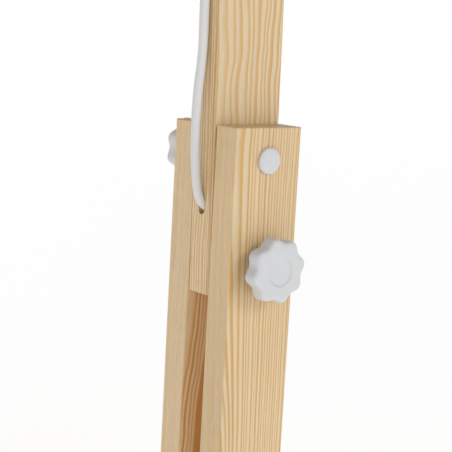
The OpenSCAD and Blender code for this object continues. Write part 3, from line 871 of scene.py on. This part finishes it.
class EASEL_OT_board(bpy.types.Operator):
    """Finishes the rails and the two-sided writing panel"""

    bl_idname = "easel.board"
    bl_label = "Board"

    def execute(self, context):
        for (node, up), seed in zip(RAIL_UPS.items(), (35.5, 39.9)):
            dress(
                node,
                pine("pine_" + node, lying_frame(BOARD_FRAME, "X", up), pith=(-52, 24),
                     ring=2.7, wave=1.0, wave_length=100, seed=seed, drift=(0.015, 0.02)),
            )
        dress("panel_core", hardboard())
        dress("white_face", marker_board())
        dress("chalk_face", chalk_board())
        return {"FINISHED"}


class EASEL_OT_tray(bpy.types.Operator):
    """Finishes the tray boards"""

    bl_idname = "easel.tray"
    bl_label = "Tray"

    def execute(self, context):
        for node, pith, seed in (
            ("tray_base", (-6, -120), 43.3),
            ("tray_back", (-46, -20), 47.1),
            ("tray_front", (-50, -96), 51.6),
        ):
            dress(
                node,
                pine("pine_" + node, lying_frame(BOARD_FRAME, "X", TRAY_UP), pith=pith,
                     ring=2.6, wave=0.9, wave_length=90, seed=seed, drift=(0.01, 0.015)),
            )
        dress(
            "tray_ends",
            pine("pine_tray_ends", lying_frame(BOARD_FRAME, "Y", TRAY_UP),
                 pith=(-290, 40), ring=2.4, wave=0.8, wave_length=70, seed=55.8),
        )
        return {"FINISHED"}


# Star knobs -------------------------------------------------------------

KNOB_CAGE = 48
KNOB_HEIGHT = 17.0
KNOB_SKIRT = 6.0
KNOB_RADIUS = 20.9
KNOB_HUB = 9.5
# The lobes reach in to this radius
LOBE_START = 14.5 * MM
# A subdivided wave comes out this much lower than its cage
WAVE_LOSS = 1.2
SAME_STEP = 0.002
INSERT_RADIUS = 6.05
INSERT_DEPTH = 11.0
# How far each joint's knob is turned, and whether it sits on the outer or inner slat
KNOB_JOINTS = (("lock", math.radians(12), 1), ("pivot", math.radians(22.5), -1))
# Rings of the knob's cage, (radius, height): up the bore, out over the hub, round
# the lobed head and into the shallow dish
KNOB_RINGS = (
    (INSERT_RADIUS, INSERT_DEPTH), (INSERT_RADIUS, 0.35), (INSERT_RADIUS + 0.3, 0.0),
    (KNOB_HUB - 0.5, 0.0), (KNOB_HUB, 0.5), (KNOB_HUB, 4.6), (KNOB_HUB + 0.7, 5.7),
    (KNOB_HUB + 3.0, KNOB_SKIRT), (17.4, KNOB_SKIRT), (19.5, KNOB_SKIRT + 0.25),
    (20.7, KNOB_SKIRT + 1.1), (KNOB_RADIUS, KNOB_SKIRT + 2.6),
    (KNOB_RADIUS, KNOB_HEIGHT - 3.2), (20.6, KNOB_HEIGHT - 1.5),
    (19.3, KNOB_HEIGHT - 0.4), (17.2, KNOB_HEIGHT), (12.6, KNOB_HEIGHT),
    (9.8, KNOB_HEIGHT), (9.3, KNOB_HEIGHT - 0.1), (8.7, KNOB_HEIGHT - 0.85),
    (8.0, KNOB_HEIGHT - 1.0), (3.0, KNOB_HEIGHT - 1.05),
)


class EASEL_OT_star_knobs(bpy.types.Operator):
    """Models one star knob and sets four of them on the clamp bolts"""

    bl_idname = "easel.star_knobs"
    bl_label = "Star knobs"

    def execute(self, context):
        hardware = context.scene.easel_hardware
        shallow = 1 - WAVE_LOSS * hardware.lobe_depth / (KNOB_RADIUS * MM)
        model = turned("star_knob", KNOB_RINGS, KNOB_CAGE)

        def crest(vert):
            """1 on the middle of a lobe, -1 in the valley between two."""
            return math.cos(hardware.lobes * math.atan2(vert.co.y, vert.co.x))

        # Each valley is drawn in towards the axis, and its flanks half as far
        cage = bmesh.from_edit_mesh(model.data)
        for step in sorted({round(crest(v), 3) for v in cage.verts}):
            pick(
                model,
                "VERT",
                lambda v: v.co.z > (KNOB_SKIRT - 0.1) * MM
                and from_axis(v) > LOBE_START
                and abs(crest(v) - step) < SAME_STEP,
            )
            scaled(1 - (1 - shallow) * (1 - step) / 2)
        smoothed(model, 2)
        white = plastic("white_knob_plastic", hardware.white, 0.44)
        for side, way in SIDES.items():
            for joint, phase, outer in KNOB_JOINTS:
                name = f"{side}_{joint}_knob"
                insert = f"{side}_{joint}_insert"
                low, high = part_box(insert)
                middle = middle_of(insert)
                seat = low.x if way * outer > 0 else high.x
                home = Matrix.Translation((0, middle.y, middle.z)) @ LEG_TURN
                place = axis_frame(home, seat, 0, 0, way * outer)
                knob = copy_of(model, name + "_star")
                put(knob, place @ Matrix.Rotation(phase, 4, "Z"))
                settle(knob, white, name + "_body", "white_plastic", name)
        bpy.data.objects.remove(model)
        return {"FINISHED"}


# Caps -------------------------------------------------------------------

CAP_SIDES = 40
FOOT_BOLT_UP = 32 * MM
FOOT_BOLT_PLACES = (-14 * MM, 10 * MM)


def cap_rings(radius, height, hole, deep):
    """Pressed-on cap: a blind hole under a low dome with a rolled rim."""
    return (
        (hole, deep), (hole, 0.05), (hole + 0.2, 0.0), (radius - 0.5, 0.0),
        (radius - 0.1, 0.15), (radius, 0.5), (radius, height * 0.42),
        (radius - 0.25, height * 0.60), (radius - 0.8, height * 0.72),
        (radius * 0.8, height * 0.86), (radius * 0.55, height * 0.955),
        (radius * 0.28, height * 0.99),
    )


CLAMP_CAP = cap_rings(8.3, 3.2, hole=6.4, deep=2.0)
FOOT_CAP = cap_rings(6.5, 2.6, hole=3.0, deep=0.5)


def stand_faces(side, way):
    """X of a stand's outer face and of its inner face."""
    outer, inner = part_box(side + "_outer_leg"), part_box(side + "_inner_leg")
    return (outer[1].x, inner[0].x) if way > 0 else (outer[0].x, inner[1].x)


class EASEL_OT_bolt_caps(bpy.types.Operator):
    """Models the domed caps over the clamp bolts and the foot bolts"""

    bl_idname = "easel.bolt_caps"
    bl_label = "Bolt caps"

    def execute(self, context):
        white = plastic("white_cap_plastic", context.scene.easel_hardware.white, 0.40)
        foot_places = []
        for side, way in SIDES.items():
            outside, inside = stand_faces(side, way)
            lock = LEG_FRAME.inverted() @ middle_of(side + "_lock_insert")
            places = (
                axis_frame(LEG_FRAME, outside, 0, 0, way),
                axis_frame(LEG_FRAME, inside, lock.y, lock.z, -way),
            )
            name = side + "_bolt_caps"
            model = smoothed(turned("cap_model", CLAMP_CAP, CAP_SIDES))
            caps = placed_copies(model, places, name + "_domed")
            settle(caps, white, "base", "white_plastic", name)
            for y in FOOT_BOLT_PLACES:
                foot_places += [
                    axis_frame(Matrix(), outside, y, FOOT_BOLT_UP, way),
                    axis_frame(Matrix(), inside, y, FOOT_BOLT_UP, -way),
                ]
        model = smoothed(turned("cap_model", FOOT_CAP, CAP_SIDES))
        caps = placed_copies(model, foot_places, "foot_bolt_caps_domed")
        settle(caps, white, "base", "white_plastic", "foot_bolt_caps")
        return {"FINISHED"}


# Feet and fasteners -----------------------------------------------------

PAD_SIDES = 40
PAD_REACH = 10 * MM
PAD_RINGS = (
    (6.0, 0.8), (6.6, 0.05), (7.2, 0.0), (8.6, 0.0), (9.4, 0.35), (9.8, 1.0),
    (10.0, 1.6), (10.0, 2.1), (9.6, 2.3), (9.6, 2.7), (10.0, 2.9), (10.0, 3.4),
    (9.6, 3.6), (9.6, 4.0), (10.0, 4.2), (10.0, 5.2), (9.7, 5.8), (9.2, 6.0),
    (5.0, 6.0),
)


class EASEL_OT_foot_pads(bpy.types.Operator):
    """Models the ribbed rubber pads under the foot runners"""

    bl_idname = "easel.foot_pads"
    bl_label = "Foot pads"

    def execute(self, context):
        low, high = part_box("foot_pads")
        places = [
            Matrix.Translation((x, y, 0))
            for x in (low.x + PAD_REACH, high.x - PAD_REACH)
            for y in (low.y + PAD_REACH, high.y - PAD_REACH)
        ]
        model = smoothed(turned("pad_model", PAD_RINGS, PAD_SIDES))
        pads = placed_copies(model, places, "ribbed_foot_pads")
        settle(pads, rubber(), "base", "rubber", "foot_pads")
        return {"FINISHED"}


class EASEL_OT_fasteners(bpy.types.Operator):
    """Finishes bolts, nuts, screws, inserts, washers, shims and ferrules"""

    bl_idname = "easel.fasteners"
    bl_label = "Fasteners"

    def execute(self, context):
        hardware = context.scene.easel_hardware
        zinc = metal("zinc_plate", hardware.zinc, 0.32)
        brass = metal("turned_brass", (0.72, 0.52, 0.22), 0.3, (300, 2400, 2400), 0.08)
        nylon = plastic("natural_nylon", (0.78, 0.76, 0.70), 0.5)
        for node in (
            "foot_bolts", "stretcher_bolts", "barrel_nuts", "right_bolts", "left_bolts",
            "rail_screws", "tray_screws", "tear_bar_screws", "cradle_screws",
            "cord_ferrules",
        ):
            dress(node, zinc)
        for side in SIDES:
            for joint in ("lock", "pivot"):
                dress(f"{side}_{joint}_washer", zinc)
                dress(f"{side}_{joint}_insert", brass)
        dress("shims", nylon)
        return {"FINISHED"}


# Paper roll -------------------------------------------------------------

PAPER_SIDES = 96
PAPER_RINGS = (
    (17.0, -225.0), (17.0, -224.6), (17.0, 224.6), (17.0, 225.0), (17.4, 225.0),
    (22.0, 224.7), (26.0, 225.0), (29.5, 224.8), (29.9, 224.6), (30.0, 224.0),
    (30.0, -224.0), (29.9, -224.6), (29.5, -224.8), (25.0, -225.0),
    (21.0, -224.7), (17.4, -225.0),
)
# The outer turn of the paper ends in a straight edge: here the turn under it shows
BARE_SPAN = (-0.02, math.radians(60))
BARE_INNER = 29.2 * MM
BARE_SCALE = 0.986
CORE_RINGS = (
    (15.0, -227.6), (15.0, 227.6), (15.3, 228.0), (16.7, 228.0), (17.0, 227.6),
    (17.0, -227.6), (16.7, -228.0), (15.3, -228.0),
)
HUB_SIDES = 64
HUB_RINGS = (
    (10.05, 216.3), (10.05, 230.6), (10.4, 231.0), (20.2, 231.0), (20.8, 230.7),
    (21.0, 230.0), (21.0, 228.6), (20.8, 228.1), (15.4, 228.0), (15.0, 227.6),
    (14.9, 216.4), (14.5, 216.0), (10.4, 216.0),
)
COLLAR_SIDES = 56
# A flat bore and a half round outside
COLLAR_RINGS = (
    (10.0, 232.2), (10.0, 235.8),
    *(
        (12.0 + 2.0 * math.cos(turn), 234.0 + 2.0 * math.sin(turn))
        for turn in (math.radians(90 - 15 * k) for k in range(13))
    ),
)


class EASEL_OT_paper_roll(bpy.types.Operator):
    """Models the wound paper, its core, hubs and collars, and finishes rod and clips"""

    bl_idname = "easel.paper_roll"
    bl_label = "Paper roll"

    def execute(self, context):
        rod = Matrix.Translation(middle_of("roll_rod")) @ BOARD_TURN
        home = lying_frame(rod, "X")
        ends = [home @ Matrix.Rotation(turn, 4, "Y") for turn in (0, math.pi)]

        paper = turned("wound_paper", PAPER_RINGS, PAPER_SIDES, closed=True)
        pick(
            paper,
            "VERT",
            lambda v: from_axis(v) > BARE_INNER
            and BARE_SPAN[0] < math.atan2(v.co.y, v.co.x) < BARE_SPAN[1],
        )
        scaled(BARE_SCALE)
        put(paper, home)
        settle(paper, drawing_paper(home), "roll", "paper", "paper_roll")

        core = turned("wound_core", CORE_RINGS, HUB_SIDES, closed=True)
        put(core, home)
        settle(core, kraft_board(home), "roll", "kraft_board", "roll_core")

        white = plastic("white_clip_plastic", context.scene.easel_hardware.white, 0.46)
        hub = turned("hub_model", HUB_RINGS, HUB_SIDES, closed=True)
        hubs = placed_copies(hub, ends, "flanged_hubs")
        settle(hubs, white, "roll", "white_plastic", "roll_hubs")

        collar = turned("collar_model", COLLAR_RINGS, COLLAR_SIDES, closed=True)
        collars = placed_copies(collar, ends, "soft_collars")
        settle(collars, rubber(), "rod", "rubber", "rod_collars")

        dress(
            "roll_rod",
            pine("beech_rod", home, pith=(-70, 20), ring=1.5, wave=0.4, wave_length=200,
                 depth=0.25, tone=(0.93, 0.94, 1.0), seed=61.0),
        )
        for node in ("right_cradle", "left_cradle", "tear_bar"):
            dress(node, white)
        return {"FINISHED"}


# Cups -------------------------------------------------------------------

CUP_SIDES = 48
HALF_CUP = 37.5 * MM
CUP_RINGS = (
    (10.0, 0.9), (22.0, 0.9), (23.0, 0.7), (24.0, 0.1), (24.8, 0.0), (26.2, 0.0),
    (27.4, 0.4), (28.0, 1.6), (28.2, 4.0), (29.7, 22.0), (31.3, 41.0),
    (31.4, 41.6), (31.9, 42.2), (32.0, 44.0), (32.1, 46.0), (33.5, 68.5),
    (33.9, 71.6), (34.9, 72.0), (35.4, 72.6), (35.5, 73.5), (35.2, 74.5),
    (34.4, 75.0), (33.2, 75.0), (32.4, 74.6), (32.0, 73.6), (30.3, 46.0),
    (30.1, 43.0), (29.4, 41.0), (26.4, 6.0), (25.6, 3.8), (23.6, 3.0), (8.0, 3.0),
)


class EASEL_OT_paint_cups(bpy.types.Operator):
    """Models one paint cup with a rolled rim and stands three in the tray"""

    bl_idname = "easel.paint_cups"
    bl_label = "Paint cups"

    def execute(self, context):
        white = plastic("white_cup_plastic", context.scene.easel_hardware.white, 0.36)
        model = smoothed(turned("cup_model", CUP_RINGS, CUP_SIDES))
        for node in ("cup_left", "cup_middle", "cup_right"):
            foot = BOARD_FRAME.inverted() @ middle_of(node)
            foot.z -= HALF_CUP
            cup = put(copy_of(model, "paint_" + node), BOARD_FRAME @ Matrix.Translation(foot))
            settle(cup, white, node + "_body", "white_plastic", node)
        bpy.data.objects.remove(model)
        return {"FINISHED"}


# Studio -----------------------------------------------------------------

FLOOR_SIZE = 90.0
# The tent is pale up to the first height and darkest from the second
TENT_FADE = (0.1, 0.7)
# Its top gives this share of the light of its pale lower wall
TOP_SHARE = 0.35
KEY_TURN = (math.radians(61), 0.0, math.radians(110))
KEY_SOFTNESS = math.radians(24)
FILL_TURN = (math.radians(72), 0.0, math.radians(41))
FILL_SOFTNESS = math.radians(30)


def hang_lamp(name, strength, turn, softness):
    light = bpy.data.lights.new(name, "SUN")
    light.energy, light.angle = strength, softness
    lamp = bpy.data.objects.new(name, light)
    bpy.context.scene.collection.objects.link(lamp)
    lamp.rotation_euler = turn


class EASEL_OT_studio(bpy.types.Operator):
    """Lays the pale floor and sets the soft lights"""

    bl_idname = "easel.studio"
    bl_label = "Studio"

    def execute(self, context):
        studio = context.scene.easel_studio
        clear_selection()
        bpy.ops.mesh.primitive_plane_add(size=FLOOR_SIZE)
        floor = bpy.context.object
        floor.name = "studio_floor"
        finish, tree, shader, place = new_finish("studio_floor_sheet")
        mottle = noise(tree, place["Object"], 3)
        high, low = tuple(studio.floor), tuple(0.99 * c for c in studio.floor)
        feed(tree, shader.inputs["Base Color"], blend_tones(tree, mottle, high, low))
        shader.inputs["Roughness"].default_value = 0.85
        shader.inputs["Emission Color"].default_value = (1, 1, 1, 1)
        shader.inputs["Emission Strength"].default_value = studio.glow
        floor.data.materials.append(finish)

        tent = bpy.data.worlds.new("light_tent")
        tent.use_nodes = True
        tree = tent.node_tree
        sky = tree.nodes["Background"]
        sky.inputs["Color"].default_value = (1, 1, 1, 1)
        aim = apart(tree, add(tree, "TexCoord").outputs["Generated"])
        fade = spread(tree, aim["Z"], *TENT_FADE, studio.sky, TOP_SHARE * studio.sky)
        feed(tree, sky.inputs["Strength"], fade)
        context.scene.world = tent
        hang_lamp("key_lamp", studio.key, KEY_TURN, KEY_SOFTNESS)
        hang_lamp("fill_lamp", studio.fill, FILL_TURN, FILL_SOFTNESS)
        context.scene.view_settings.view_transform = "Standard"
        context.scene.view_settings.look = "None"
        return {"FINISHED"}


# Panel and registration -------------------------------------------------

OPERATORS = (
    EASEL_OT_camera,
    EASEL_OT_side_cords,
    EASEL_OT_slats,
    EASEL_OT_base_timber,
    EASEL_OT_board,
    EASEL_OT_tray,
    EASEL_OT_star_knobs,
    EASEL_OT_bolt_caps,
    EASEL_OT_foot_pads,
    EASEL_OT_fasteners,
    EASEL_OT_paper_roll,
    EASEL_OT_paint_cups,
    EASEL_OT_studio,
)


class EASEL_PT_easel(bpy.types.Panel):
    """Settings and steps of the easel"""

    bl_idname = "EASEL_PT_easel"
    bl_label = "Easel"
    bl_space_type = "VIEW_3D"
    bl_region_type = "UI"
    bl_category = "Easel"

    def draw(self, context):
        for group in ("easel_timber", "easel_hardware", "easel_cord", "easel_studio"):
            box = self.layout.box()
            settings = getattr(context.scene, group)
            for key in settings.__annotations__:
                box.prop(settings, key)
        for step in OPERATORS:
            self.layout.operator(step.bl_idname)


SETTINGS = {
    "easel_timber": EaselTimberSettings,
    "easel_hardware": EaselHardwareSettings,
    "easel_cord": EaselCordSettings,
    "easel_studio": EaselStudioSettings,
}
CLASSES = (*SETTINGS.values(), *OPERATORS, EASEL_PT_easel)


def register():
    for cls in CLASSES:
        bpy.utils.register_class(cls)
    for name, group in SETTINGS.items():
        setattr(bpy.types.Scene, name, PointerProperty(type=group))


def unregister():
    for name in SETTINGS:
        delattr(bpy.types.Scene, name)
    for cls in reversed(CLASSES):
        bpy.utils.unregister_class(cls)


def main():
    register()
    for step in OPERATORS:
        group, call = step.bl_idname.split(".")
        getattr(getattr(bpy.ops, group), call)()
    clear_selection()


if __name__ == "__main__":
    main()
